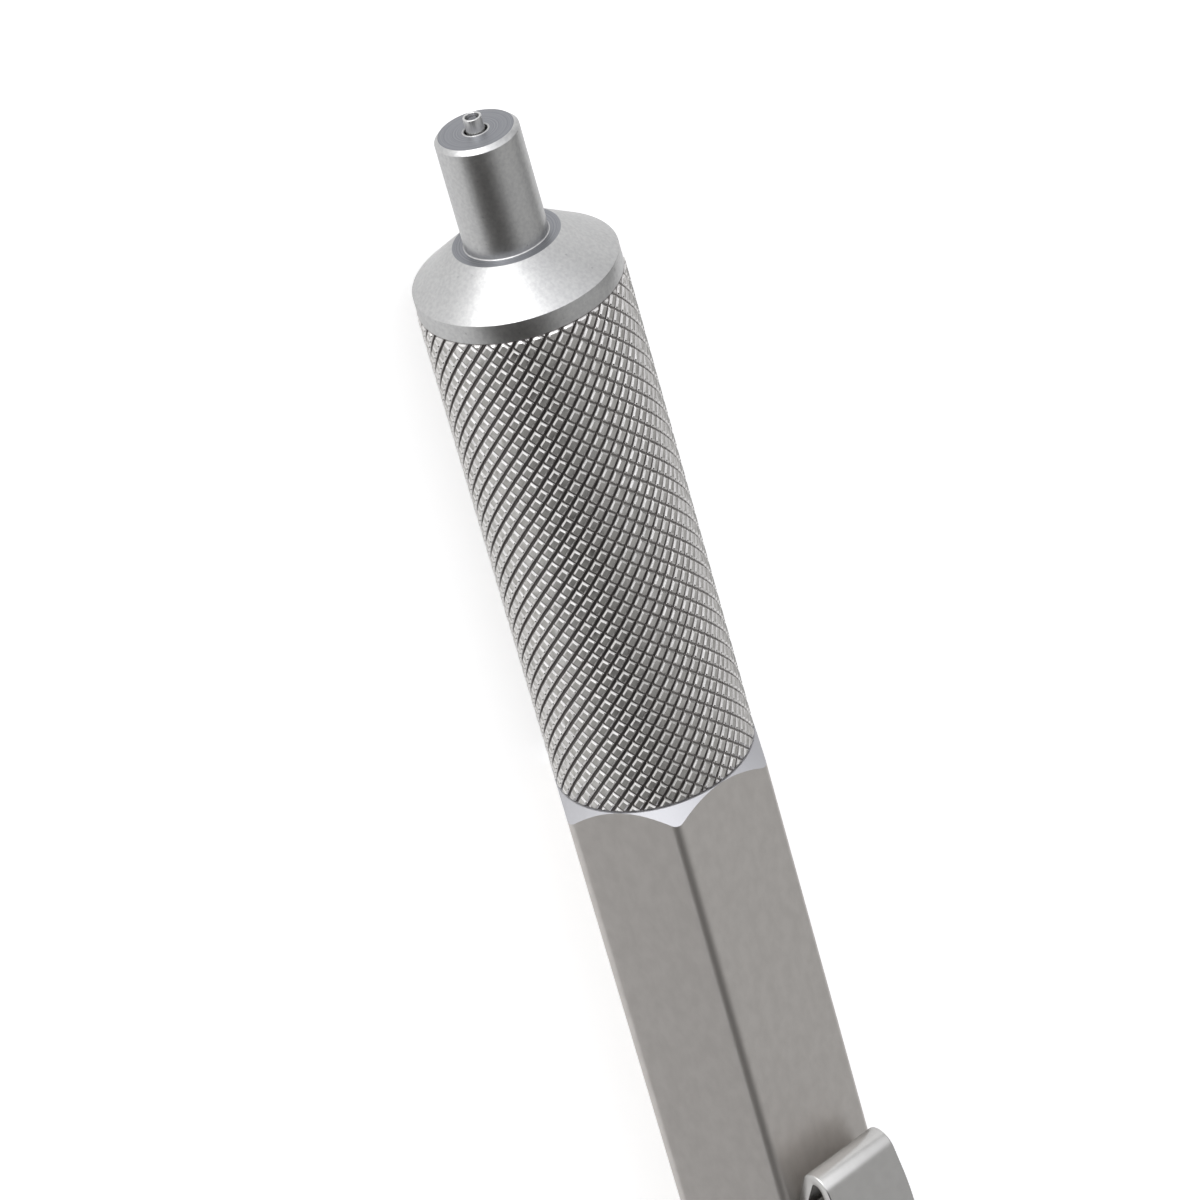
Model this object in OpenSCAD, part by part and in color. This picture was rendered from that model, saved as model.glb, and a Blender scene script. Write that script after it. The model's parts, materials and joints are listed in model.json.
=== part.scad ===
// Twist-retract drafting pencil for 0.5 mm leads.
// It lies on one flat of its barrel: X runs from the tip to the button, Z is up,
// and the clip is on the top flat. Stations are measured back from the nose's end face.

/* [Lead and tip] */
// Diameter of the lead
lead_d = 0.56; // [0.3:0.01:0.7]
// Length of a lead
lead_len = 60; // [40:1:65]
// How far the lead's worn end lies inside the sleeve as shown
lead_recess = 0.1; // [0.02:0.01:0.4]
// Wall of the lead sleeve
sleeve_wall = 0.1; // [0.08:0.01:0.16]
// How far the lead sleeve stands out of the nose as shown
sleeve_out = 0.65; // [0.2:0.05:1.5]
// How far the sleeve stands out when the knob is turned fully out
sleeve_reach = 4; // [3:0.1:5]
// How deep the sleeve hides in the nose when the knob is turned fully back
sleeve_hide = 0.35; // [0.1:0.05:0.6]

/* [Nose] */
// Radius of the nose tube
nose_r = 1.81; // [1.6:0.01:2.2]
// Chamfer round the nose tube's end
nose_chamfer = 0.19; // [0.1:0.01:0.3]
// Length of the nose tube, to the shoulder
nose_tube_len = 5.2; // [4:0.1:7]
// Wall of the nose tube
nose_wall = 0.56; // [0.4:0.01:0.7]
// Thickness of the nose's end wall
nose_lip = 1.2; // [0.8:0.1:1.6]
// Fillet at the foot of the nose tube
nose_fillet = 0.12; // [0.08:0.01:0.45]
// Radius of the flat shoulder round the fillet
shoulder_r = 2.33; // [2.3:0.01:2.8]
// Length of the steep cone behind the shoulder
cone_len = 1.54; // [1:0.01:2.5]
// Length of the plain band behind the cone
band_len = 0.88; // [0.5:0.01:2]
// How much the plain band lies inside the knurl's crests
band_inset = 0.06; // [0.02:0.01:0.2]

/* [Barrel and grip] */
// Width of the barrel across its flats
hex_af = 9; // [8.6:0.1:11]
// Radius of the softened hexagon edges
hex_edge_r = 0.55; // [0.2:0.01:0.8]
// Length of the hexagonal barrel
barrel_len = 78.25; // [65:0.25:90]
// Length of the turned chamfer at each end of the barrel
hex_chamfer_len = 0.7; // [0.4:0.05:1]
// Wall of the barrel where its bore is widest
barrel_wall = 0.65; // [0.5:0.05:0.8]
// Length of the knurled grip
grip_len = 24.13; // [22:0.01:28]
// Chamfer at each end of the knurl
grip_chamfer = 0.12; // [0.05:0.01:0.3]
// Length of each threaded spigot, on the nose and on the grip
spigot_len = 5.6; // [4:0.1:6]

/* [Clip] */
// Width of the clip's strip
clip_w = 4; // [3:0.1:5]
// Thickness of the clip's sheet
clip_t = 0.6; // [0.4:0.05:0.7]
// Distance from the grip to the clip's folded end
clip_setback = 19.8; // [15:0.1:28]
// Height of the clip's outer face above the barrel's flat
clip_height = 3.18; // [3:0.01:4]
// Slope of the folded-back leg
clip_leg_slope = 30; // [24:1:36]

/* [Knob and button] */
// Length of the clip collar
collar_len = 5; // [4:0.1:8]
// Length of the twist knob
knob_len = 10.1; // [9:0.1:14]
// Number of flutes round the knob
flute_count = 36; // [24:1:48]
// Turn of the knob from fully in to fully out, in degrees
knob_turn = 180; // [120:5:240]
// Travel of the push button
press_travel = 3; // [2:0.1:3.2]
// Length of the button's cap
cap_len = 13.5; // [12:0.1:18]
// Length of the eraser
eraser_len = 8.2; // [6:0.1:8.4]

/* [Mechanism] */
// Bore of the lead tube, as a radius
tube_bore_r = 1.2; // [1.1:0.05:1.3]
// Wall of the lead tube
tube_wall = 0.3; // [0.2:0.05:0.35]
// Wall of the carrier tube
carrier_wall = 0.4; // [0.3:0.05:0.45]
// Wall of the guide bush
bush_wall = 0.62; // [0.5:0.02:0.66]
// Wall of the cam sleeve
cam_wall = 0.54; // [0.4:0.02:0.58]
// Diameter of the guide pin
pin_d = 1; // [0.8:0.05:1.2]
// Wire of the return spring
wire_d = 0.25; // [0.18:0.01:0.3]
// Coils of the return spring
coil_count = 6; // [4:1:7]

/* [Hidden] */
$fn = 96;

// Clearances, and how far a cut runs past a face
thread_gap = 0.02;
fit_gap = 0.01;
slide_gap = 0.05;
run_gap = 0.08;
free_gap = 0.1;
end_gap = 0.15;
over = 1;

// Radii, from the lead outwards
lead_r = lead_d / 2;
lead_round_r = 0.7 * lead_r;
sleeve_bore_r = lead_r + thread_gap;
sleeve_r = sleeve_bore_r + sleeve_wall;
nose_hole_r = sleeve_r + free_gap;
nose_hole_chamfer = 0.05;
nose_bore_r = nose_r - nose_wall;
holder_r = nose_bore_r - slide_gap;
holder_wall = 0.4;
retainer_r = holder_r - holder_wall;
retainer_bore_r = lead_r + fit_gap;
chuck_bore_r = lead_r + fit_gap;
stem_r = 0.95;
jaw_rise = 0.4;
chuck_head_r = stem_r + jaw_rise;
ring_wall = 0.4;
ring_r = chuck_head_r + ring_wall;
ring_seat_r = ring_r + slide_gap;
tube_r = tube_bore_r + tube_wall;
carrier_bore_r = tube_r + free_gap;
carrier_r = carrier_bore_r + carrier_wall;
housing_wall = 0.5;
housing_r = carrier_r + housing_wall;
thread_wall = 0.3;
holder_spigot_r = housing_r - thread_wall;
holder_cavity_r = chuck_head_r + free_gap;
spring_seat_r = carrier_r - free_gap;
coupler_gap = 0.2;
coupler_r = spring_seat_r - coupler_gap;
spring_r = (stem_r + spring_seat_r) / 2;
bush_bore_r = carrier_r + run_gap;
bush_r = bush_bore_r + bush_wall;
cam_bore_r = bush_r + slide_gap;
cam_r = cam_bore_r + cam_wall;
neck_bore_r = carrier_r + free_gap;
neck_step = 0.35;
neck_r = cam_r - neck_step;
barrel_bore_r = cam_r + run_gap;
nose_wide_r = housing_r + free_gap;
nose_spigot_wall = 0.8;
nose_spigot_r = nose_wide_r + nose_spigot_wall;
grip_room = 0.25;
grip_bore_r = housing_r + grip_room;
grip_spigot_step = 0.2;
grip_spigot_r = barrel_bore_r + grip_spigot_step;
pin_r = pin_d / 2;
pin_slot_r = pin_r + slide_gap;

// Outer radii
hex_in_r = hex_af / 2;
hex_out_r = (hex_in_r - hex_edge_r) / cos(30) + hex_edge_r;
grip_r = hex_in_r;
band_r = grip_r - band_inset;
barrel_room_r = hex_in_r - barrel_wall;
collar_r = hex_in_r;
knob_r = hex_in_r - slide_gap;
knob_wall = 1.35;
well_r = knob_r - knob_wall;
cap_r = well_r - end_gap;
cap_wall = 0.55;
cap_bore_r = cap_r - cap_wall;
ferrule_r = cap_bore_r - run_gap;
ferrule_wall = 0.3;
eraser_r = ferrule_r - ferrule_wall - thread_gap;
cleaning_r = 0.2;

// Travels
travel_out = sleeve_reach - sleeve_out;
travel_in = sleeve_out + sleeve_hide;
travel = travel_out + travel_in;

// Stations of the nose, the grip and the barrel
cone_end = nose_tube_len + cone_len;
nose_end = cone_end + band_len;
grip_end = nose_end + grip_len;
barrel_end = grip_end + barrel_len;

// Stations of the cartridge, as shown in the photograph
nose_step_len = 1;
wide_start = nose_tube_len + nose_step_len;
holder_front = nose_lip + travel_out + end_gap;
housing_front = wide_start + travel_out + end_gap;
retainer_len = 1.85;
cavity_wall = 0.25;
cavity_front = housing_front + cavity_wall;
retainer_front = cavity_front - slide_gap - retainer_len;
sleeve_end = retainer_front - slide_gap;
holder_spigot_len = 2.5;
ring_room_front = housing_front + holder_spigot_len;
chuck_front = cavity_front + press_travel + end_gap;
chuck_head_len = 1;
chuck_taper_len = 1.6;
taper_front = chuck_front + chuck_head_len;
taper_end = taper_front + chuck_taper_len;
ring_setback = 0.3;
ring_front = taper_front + ring_setback;
ring_len = 1.7;
ring_end = ring_front + ring_len;
ring_room = 0.8;
ledge_front = ring_end + ring_room;
ledge_len = 1;
spring_front = ledge_front + ledge_len;
spring_len = 5.6;
coupler_front = spring_front + spring_len;
coupler_flange_len = 2.5;
tube_front = coupler_front + coupler_flange_len;
coupler_spigot_len = 3;
carrier_room = 0.5;
carrier_front = tube_front + carrier_room;
carrier_socket_len = 3.5;
housing_end = carrier_front + carrier_socket_len;
slit_len = 8;
slit_w = 0.25;

// Stations of the cam, the collar and the knob
collar_spigot_len = 2.9;
cam_end = barrel_end - collar_spigot_len - free_gap;
cam_end_wall = 0.9;
cam_front = cam_end - travel - 2 * pin_slot_r - 2 * cam_end_wall;
pin_s = cam_front + cam_end_wall + pin_slot_r + travel_out;
bush_flange_len = 2.2;
bush_seat_len = 4;
bush_flange_end = cam_front - free_gap;
bush_end = cam_end - end_gap;
collar_end = barrel_end + collar_len;
knob_gap = 0.2;
knob_front = collar_end + knob_gap;
knob_floor = 2.1;
neck_end = knob_front + knob_floor;
knob_end = knob_front + knob_len;
carrier_tail_len = 0.7;
carrier_end = neck_end + carrier_tail_len;
cap_room = 0.35;
cap_front = neck_end + travel_out + press_travel + cap_room;
cap_end = cap_front + cap_len;
cap_floor = 1.3;
skirt_len = 3;
tube_end = cap_front + skirt_len;
ferrule_plug_len = 2.5;
ferrule_floor = 0.6;
ferrule_cup_len = 2.9;
eraser_front = tube_end + thread_gap + ferrule_floor + thread_gap;
eraser_hold = 1.4;
cleaning_len = 17;
spare_setback = 20;
spare_front = tube_front + spare_setback;

// Frame: the middle of the whole length is at x = 0, the lower flat at z = 0
tip_x = -(cap_end + sleeve_out) / 2 + sleeve_out;
axis_z = hex_in_r;

// The clip's outline: centre line of the sheet, in stations and heights above the flat
clip_bend_r = clip_t;
clip_foot_r = 1.5 * clip_t;
clip_rise = 13;
clip_rise_len = 1.1;
clip_crown_r = 9;
clip_root_r = 1.5 * clip_t;
clip_root_depth = 1;
clip_root_s = barrel_end + collar_len / 2;
clip_line_h = clip_height - clip_t / 2;
clip_bend_s = grip_end + clip_setback + clip_bend_r + clip_t / 2;
clip_crown_rise = clip_crown_r * (1 - cos(clip_rise));
clip_bend_h = clip_line_h - clip_crown_rise - clip_rise_len * sin(clip_rise)
    - clip_bend_r * cos(clip_rise);
clip_foot_h = clip_t / 2 + slide_gap + clip_foot_r;
clip_leg_drop = clip_bend_h - clip_bend_r * cos(clip_leg_slope)
    - clip_foot_h + clip_foot_r * cos(clip_leg_slope);
clip_foot_s = clip_bend_s - (clip_bend_r - clip_foot_r) * sin(clip_leg_slope)
    + clip_leg_drop / tan(clip_leg_slope);
clip_rise_end = [clip_bend_s, clip_bend_h]
    + clip_bend_r * [-sin(clip_rise), cos(clip_rise)]
    + clip_rise_len * [cos(clip_rise), sin(clip_rise)];
clip_crown_c = clip_rise_end + clip_crown_r * [sin(clip_rise), -cos(clip_rise)];
clip_root_c = [clip_root_s - clip_root_r, clip_line_h - clip_root_r];
clip_path = concat(
    arc([clip_foot_s, clip_foot_h], clip_foot_r, 325, 270 - clip_leg_slope, 8),
    arc([clip_bend_s, clip_bend_h], clip_bend_r, 270 - clip_leg_slope, 90 + clip_rise, 12),
    arc(clip_crown_c, clip_crown_r, 90 + clip_rise, 90, 6),
    arc(clip_root_c, clip_root_r, 90, 0, 8),
    [[clip_root_s, -clip_root_depth]]);

silver = [0.74, 0.74, 0.75];
bright = [0.82, 0.82, 0.83];
brass = [0.8, 0.66, 0.38];
steel = [0.66, 0.67, 0.69];
dark = [0.16, 0.16, 0.17];
graphite = [0.25, 0.25, 0.27];
white = [0.93, 0.92, 0.9];

// Points of an arc from angle a0 to angle a1, in n steps
function arc(c, r, a0, a1, n) =
    [for (i = [0:n]) let (a = a0 + (a1 - a0) * i / n) c + r * [cos(a), sin(a)]];

// Heading of a path at one of its points
function heading(path, i) =
    let (a = path[max(i - 1, 0)], b = path[min(i + 1, len(path) - 1)])
    atan2(b[1] - a[1], b[0] - a[0]);

// A path moved sideways by d
function beside(path, d) =
    [for (i = [0:len(path) - 1])
        let (h = heading(path, i)) path[i] + d * [-sin(h), cos(h)]];

// Closed outline of a strip of thickness t along a path
function ribbon(path, t) =
    let (below = beside(path, -t / 2), n = len(path))
    concat(beside(path, t / 2), [for (i = [1:n]) below[n - i]]);

// Hexagon with rounded corners, from its inner radius and its corner radius
function hex_outline(inner, edge) =
    [for (k = [0:5]) for (p = arc((inner - edge) / cos(30) * [cos(60 * k + 30), sin(60 * k + 30)],
        edge, 60 * k, 60 * k + 60, 5)) p];

// Turns the pencil's own axis, a local Z from the nose's face, into the row frame
module along() {
    translate([tip_x, 0, axis_z]) rotate([0, 90, 0]) children();
}

// A turned piece, from its outline in [radius, station]
module turned(outline) {
    along() rotate_extrude() polygon(outline);
}

// A plain tube between two stations
module tube(r_out, r_in, s0, s1) {
    turned([[r_in, s0], [r_out, s0], [r_out, s1], [r_in, s1]]);
}

module nose_cone() {
    color(silver) turned(concat(
        [[nose_hole_r + nose_hole_chamfer, 0], [nose_r - nose_chamfer, 0],
            [nose_r, nose_chamfer]],
        arc([nose_r + nose_fillet, nose_tube_len - nose_fillet], nose_fillet, 180, 90, 8),
        [[shoulder_r, nose_tube_len], [band_r, cone_end],
            [band_r, nose_end - nose_hole_chamfer], [band_r - nose_hole_chamfer, nose_end],
            [nose_spigot_r, nose_end], [nose_spigot_r, nose_end + spigot_len],
            [nose_wide_r, nose_end + spigot_len], [nose_wide_r, wide_start],
            [nose_bore_r, wide_start], [nose_bore_r, nose_lip], [nose_hole_r, nose_lip],
            [nose_hole_r, nose_hole_chamfer]]));
}

module knurled_grip() {
    color(silver) turned([
        [nose_spigot_r + thread_gap, nose_end], [grip_r - grip_chamfer, nose_end],
        [grip_r, nose_end + grip_chamfer], [grip_r, grip_end - grip_chamfer],
        [grip_r - grip_chamfer, grip_end], [grip_spigot_r, grip_end],
        [grip_spigot_r, grip_end + spigot_len], [grip_bore_r, grip_end + spigot_len],
        [grip_bore_r, nose_end + spigot_len + free_gap],
        [nose_spigot_r + thread_gap, nose_end + spigot_len + free_gap]]);
}

module hex_barrel() {
    color(silver) difference() {
        intersection() {
            along() translate([0, 0, grip_end]) linear_extrude(barrel_len)
                polygon(hex_outline(hex_in_r, hex_edge_r));
            turned([[0, grip_end], [hex_in_r, grip_end],
                [hex_out_r, grip_end + hex_chamfer_len],
                [hex_out_r, barrel_end - hex_chamfer_len], [hex_in_r, barrel_end],
                [0, barrel_end]]);
        }
        turned([[0, grip_end - over], [grip_spigot_r + thread_gap, grip_end - over],
            [grip_spigot_r + thread_gap, grip_end + spigot_len + free_gap],
            [barrel_room_r, grip_end + spigot_len + free_gap],
            [barrel_room_r, cam_front - bush_seat_len], [barrel_bore_r, cam_front - bush_seat_len],
            [barrel_bore_r, barrel_end + over], [0, barrel_end + over]]);
    }
}

module lead_sleeve() {
    color(bright) tube(sleeve_r, sleeve_bore_r, -sleeve_out, sleeve_end);
}

module sleeve_holder() {
    color(brass) turned([
        [sleeve_r + fit_gap, holder_front], [holder_r - end_gap, holder_front],
        [holder_r, holder_front + end_gap], [holder_r, housing_front],
        [holder_spigot_r, housing_front], [holder_spigot_r, ring_room_front],
        [holder_cavity_r, ring_room_front], [holder_cavity_r, cavity_front],
        [retainer_r + fit_gap, cavity_front], [retainer_r + fit_gap, retainer_front - fit_gap],
        [sleeve_r + fit_gap, retainer_front - fit_gap]]);
}

module lead_retainer() {
    color(dark) tube(retainer_r, retainer_bore_r, retainer_front, retainer_front + retainer_len);
}

// The lead, with its end worn round
module writing_lead() {
    lead_front = lead_recess - sleeve_out;
    color(graphite) turned(concat([[0, lead_front]],
        arc([lead_r - lead_round_r, lead_front + lead_round_r], lead_round_r, 270, 360, 5),
        [[lead_r, lead_front + lead_len], [0, lead_front + lead_len]]));
}

module chuck() {
    color(brass) difference() {
        turned([[chuck_bore_r, chuck_front], [chuck_head_r - end_gap, chuck_front],
            [chuck_head_r, chuck_front + end_gap], [chuck_head_r, taper_front],
            [stem_r, taper_end], [stem_r, tube_front], [chuck_bore_r, tube_front]]);
        for (jaw = [0:2])
            along() rotate([0, 0, 120 * jaw])
                translate([0, -slit_w / 2, chuck_front - over])
                    cube([chuck_head_r + over, slit_w, slit_len + over]);
    }
}

module clutch_ring() {
    taper = (chuck_head_r - stem_r) / chuck_taper_len;
    front_r = chuck_head_r - taper * (ring_front - taper_front) + slide_gap;
    color(brass) turned([[front_r, ring_front], [ring_r - slide_gap, ring_front],
        [ring_r, ring_front + slide_gap], [ring_r, ring_end], [stem_r + slide_gap, ring_end],
        [stem_r + slide_gap, taper_end]]);
}

module mechanism_housing() {
    color(steel) turned([
        [holder_spigot_r + thread_gap, housing_front], [housing_r - end_gap, housing_front],
        [housing_r, housing_front + end_gap], [housing_r, housing_end],
        [carrier_r + fit_gap, housing_end], [carrier_r + fit_gap, carrier_front - fit_gap],
        [spring_seat_r, carrier_front - fit_gap], [spring_seat_r, spring_front],
        [stem_r + end_gap, spring_front], [stem_r + end_gap, ledge_front],
        [ring_seat_r, ledge_front], [ring_seat_r, ring_room_front],
        [holder_spigot_r + thread_gap, ring_room_front]]);
}

// One ring of the spring's wire for each step of the helix, joined by triangles
module return_spring() {
    sides = 6;
    steps = 16 * coil_count;
    wire_r = wire_d / 2;
    lift = (spring_len - wire_d - 2 * slide_gap) / steps;
    points = [for (i = [0:steps]) for (k = [0:sides - 1])
        let (turn = 360 * coil_count * i / steps, a = 360 * k / sides,
            r = spring_r + wire_r * cos(a))
        [r * cos(turn), r * sin(turn),
            spring_front + slide_gap + wire_r + lift * i + wire_r * sin(a)]];
    walls = [for (i = [0:steps - 1]) for (k = [0:sides - 1])
        let (a = i * sides + k, b = i * sides + (k + 1) % sides)
        for (face = [[a, b, a + sides], [b, b + sides, a + sides]]) face];
    first = [[for (k = [0:sides - 1]) sides - 1 - k]];
    last = [[for (k = [0:sides - 1]) steps * sides + k]];
    color(steel) along() polyhedron(points, concat(walls, first, last));
}

module chuck_coupler() {
    color(dark) turned([
        [stem_r + fit_gap, coupler_front], [coupler_r, coupler_front],
        [coupler_r, tube_front - fit_gap], [tube_bore_r - fit_gap, tube_front - fit_gap],
        [tube_bore_r - fit_gap, tube_front + coupler_spigot_len],
        [tube_bore_r - holder_wall / 2, tube_front + coupler_spigot_len],
        [lead_r + end_gap, tube_front + fit_gap], [stem_r + fit_gap, tube_front + fit_gap]]);
}

module lead_tube() {
    color(steel) tube(tube_r, tube_bore_r, tube_front, tube_end);
}

module spare_leads() {
    for (turn = [90, 210, 330])
        color(graphite) along() rotate([0, 0, turn])
            translate([tube_bore_r - lead_r - slide_gap, 0, spare_front])
                cylinder(r = lead_r, h = lead_len);
}

module carrier_tube() {
    color(steel) difference() {
        tube(carrier_r, carrier_bore_r, carrier_front, carrier_end);
        along() translate([0, 0, pin_s]) rotate([0, 90, 0])
            cylinder(r = pin_r + fit_gap, h = carrier_r + over);
    }
}

module guide_pin() {
    color(bright) along() translate([carrier_bore_r + slide_gap, 0, pin_s]) rotate([0, 90, 0])
        cylinder(r = pin_r, h = cam_r - slide_gap - carrier_bore_r - slide_gap);
}

// The fixed bush: its straight slot lets the pin slide and keeps it from turning
module guide_bush() {
    slot_front = pin_s - travel_out - pin_slot_r;
    color(brass) difference() {
        turned([[bush_bore_r, bush_flange_end - bush_flange_len],
            [barrel_bore_r - fit_gap, bush_flange_end - bush_flange_len],
            [barrel_bore_r - fit_gap, bush_flange_end], [bush_r, bush_flange_end],
            [bush_r, bush_end], [bush_bore_r, bush_end]]);
        along() translate([0, -pin_slot_r, slot_front])
            cube([bush_r + over, 2 * pin_slot_r, travel + 2 * pin_slot_r]);
    }
}

// The knob's inner sleeve: a helical slot, milled in small steps, that drives the guide pin
module cam_sleeve() {
    cam_steps = 28;
    color(brass) difference() {
        turned([[cam_bore_r, cam_front], [cam_r, cam_front], [cam_r, cam_end],
            [neck_r, cam_end], [neck_r, neck_end], [neck_bore_r, neck_end],
            [neck_bore_r, cam_end - slide_gap], [cam_bore_r, cam_end - slide_gap]]);
        for (i = [0:cam_steps])
            let (move = -travel_in + travel * i / cam_steps)
            along() rotate([0, 0, -knob_turn * move / travel])
                translate([0, 0, pin_s - move]) rotate([0, 90, 0])
                    cylinder(r = pin_slot_r + slide_gap / 2, h = cam_r + over, $fn = 32);
    }
}

module clip_collar() {
    slot_w = clip_w + 2 * slide_gap;
    slot_l = clip_t + 2 * run_gap;
    color(silver) difference() {
        turned([[neck_r + run_gap, barrel_end - collar_spigot_len],
            [barrel_bore_r - fit_gap, barrel_end - collar_spigot_len],
            [barrel_bore_r - fit_gap, barrel_end], [collar_r - grip_chamfer, barrel_end],
            [collar_r, barrel_end + grip_chamfer], [collar_r, collar_end - grip_chamfer],
            [collar_r - grip_chamfer, collar_end], [neck_r + run_gap, collar_end]]);
        translate([tip_x + clip_root_s - slot_l / 2, -slot_w / 2,
                axis_z + collar_r - clip_root_depth - run_gap])
            cube([slot_l, slot_w, clip_root_depth + over]);
    }
}

module clip() {
    color(silver) translate([tip_x, clip_w / 2, axis_z + hex_in_r]) rotate([90, 0, 0])
        linear_extrude(clip_w) polygon(ribbon(clip_path, clip_t));
}

module twist_knob() {
    flute_r = 0.22;
    flute_front = knob_front + knob_floor;
    plain_len = 2;
    flute_len = knob_len - knob_floor - plain_len;
    color(silver) difference() {
        turned([[neck_r + fit_gap, knob_front], [knob_r - grip_chamfer, knob_front],
            [knob_r, knob_front + grip_chamfer], [knob_r, knob_end - 2 * grip_chamfer],
            [knob_r - 2 * grip_chamfer, knob_end], [well_r, knob_end],
            [well_r, neck_end + fit_gap], [neck_r + fit_gap, neck_end + fit_gap]]);
        for (i = [0:flute_count - 1])
            along() rotate([0, 0, 360 / flute_count * i])
                translate([knob_r + flute_r / 3, 0, flute_front])
                    cylinder(r = flute_r, h = flute_len, $fn = 24);
    }
}

module eraser_ferrule() {
    cup_front = tube_end + thread_gap;
    cup_r = ferrule_r - ferrule_wall;
    color(bright) turned([
        [cleaning_r + fit_gap, tube_end - ferrule_plug_len],
        [tube_bore_r - slide_gap, tube_end - ferrule_plug_len],
        [tube_bore_r - slide_gap, cup_front], [ferrule_r, cup_front],
        [ferrule_r, cup_front + ferrule_floor + ferrule_cup_len],
        [cup_r, cup_front + ferrule_floor + ferrule_cup_len],
        [cup_r, cup_front + ferrule_floor], [cleaning_r + fit_gap, cup_front + ferrule_floor]]);
}

module eraser() {
    edge = eraser_r / 8;
    back = eraser_front + eraser_len;
    color(white) turned(concat(
        [[0, eraser_front + eraser_hold], [cleaning_r + fit_gap, eraser_front + eraser_hold],
            [cleaning_r + fit_gap, eraser_front], [eraser_r, eraser_front]],
        arc([eraser_r - edge, back - edge], edge, 0, 90, 4), [[0, back]]));
}

module cleaning_pin() {
    pin_end = eraser_front + eraser_hold - slide_gap;
    color(bright) turned([[0, pin_end - cleaning_len], [cleaning_r, pin_end - cleaning_len],
        [cleaning_r, pin_end], [0, pin_end]]);
}

module push_cap() {
    edge = cap_wall;
    color(silver) turned(concat(
        [[cap_bore_r, cap_front], [cap_r - slide_gap, cap_front], [cap_r, cap_front + slide_gap]],
        arc([cap_r - edge, cap_end - edge], edge, 0, 90, 6),
        [[0, cap_end], [0, cap_end - cap_floor], [cap_bore_r, cap_end - cap_floor]]));
}

nose_cone();
knurled_grip();
hex_barrel();
lead_sleeve();
sleeve_holder();
lead_retainer();
writing_lead();
chuck();
clutch_ring();
mechanism_housing();
return_spring();
chuck_coupler();
lead_tube();
spare_leads();
carrier_tube();
guide_pin();
guide_bush();
cam_sleeve();
clip_collar();
clip();
twist_knob();
eraser_ferrule();
eraser();
cleaning_pin();
push_cap();
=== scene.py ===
"""Looks of a twist-retract drafting pencil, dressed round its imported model.

The pencil lies on one flat of its barrel and is seen from beyond its tip. Lengths are in
millimetres until place() turns them into the frame's metres. A station is a distance back
from the nose's end face, and a turn is an angle about the axis, from the top towards +Y.
"""

import json
import math

import bmesh
import bpy
from mathutils import Matrix, Vector
from mathutils.noise import seed_set, turbulence_vector


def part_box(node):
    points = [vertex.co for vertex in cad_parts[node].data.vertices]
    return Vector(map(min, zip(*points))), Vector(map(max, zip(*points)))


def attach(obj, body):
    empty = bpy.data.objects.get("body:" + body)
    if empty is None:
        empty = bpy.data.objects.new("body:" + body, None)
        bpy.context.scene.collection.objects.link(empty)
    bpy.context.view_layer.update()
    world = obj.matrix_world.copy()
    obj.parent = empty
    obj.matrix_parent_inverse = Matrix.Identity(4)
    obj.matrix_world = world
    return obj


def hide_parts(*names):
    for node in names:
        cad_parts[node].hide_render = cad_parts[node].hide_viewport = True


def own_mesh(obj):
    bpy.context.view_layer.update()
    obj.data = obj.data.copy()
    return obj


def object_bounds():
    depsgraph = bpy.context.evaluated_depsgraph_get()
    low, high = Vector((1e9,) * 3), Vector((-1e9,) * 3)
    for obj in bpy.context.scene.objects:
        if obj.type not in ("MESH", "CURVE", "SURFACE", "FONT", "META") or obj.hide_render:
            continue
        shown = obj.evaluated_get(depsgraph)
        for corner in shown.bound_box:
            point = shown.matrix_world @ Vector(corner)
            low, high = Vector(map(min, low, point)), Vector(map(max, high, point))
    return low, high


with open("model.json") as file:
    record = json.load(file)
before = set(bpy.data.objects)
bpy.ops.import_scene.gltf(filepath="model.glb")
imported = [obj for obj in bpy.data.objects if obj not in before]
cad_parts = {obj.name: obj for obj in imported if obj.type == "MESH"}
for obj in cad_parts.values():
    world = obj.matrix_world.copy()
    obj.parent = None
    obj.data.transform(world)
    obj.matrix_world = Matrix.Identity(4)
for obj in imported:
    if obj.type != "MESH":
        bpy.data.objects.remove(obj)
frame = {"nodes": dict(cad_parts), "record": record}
cad_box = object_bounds()

MM = 0.001
TIP_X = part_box("nose_cone")[0].x
AXIS_Z = (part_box("hex_barrel")[0].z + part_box("hex_barrel")[1].z) / 2
AXIS = Vector((0, 0, AXIS_Z))


def front(node):
    """Station of a node's front end."""
    return (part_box(node)[0].x - TIP_X) / MM


def back(node):
    """Station of a node's back end."""
    return (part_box(node)[1].x - TIP_X) / MM


def radius(node):
    """Largest radius of a round node."""
    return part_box(node)[1].y / MM


def place(station, r, turn=0.0):
    """The frame's point at a station, a radius and a turn."""
    return Vector((TIP_X + station * MM, r * MM * math.sin(turn), AXIS_Z + r * MM * math.cos(turn)))


# Stations and radii that the model gives
NOSE_END = front("knurled_grip")
GRIP_END = front("hex_barrel")
BARREL_END = back("hex_barrel")
GRIP_R = radius("knurled_grip")
BAND_R = radius("nose_cone")
SLEEVE_R = radius("lead_sleeve")
KNOB_R = radius("twist_knob")
CAP_R = radius("push_cap")

# Nose, as measured in the photograph
NOSE_R = 1.81
NOSE_CHAMFER = 0.19
NOSE_TUBE_LEN = 5.2
NOSE_FILLET = 0.07
SHOULDER_R = 2.33
CONE_END = 6.74
NOSE_HOLE_R = SLEEVE_R + 0.1
RIM_WIDTH = 0.09
RIM_HEIGHT = 0.03

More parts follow.
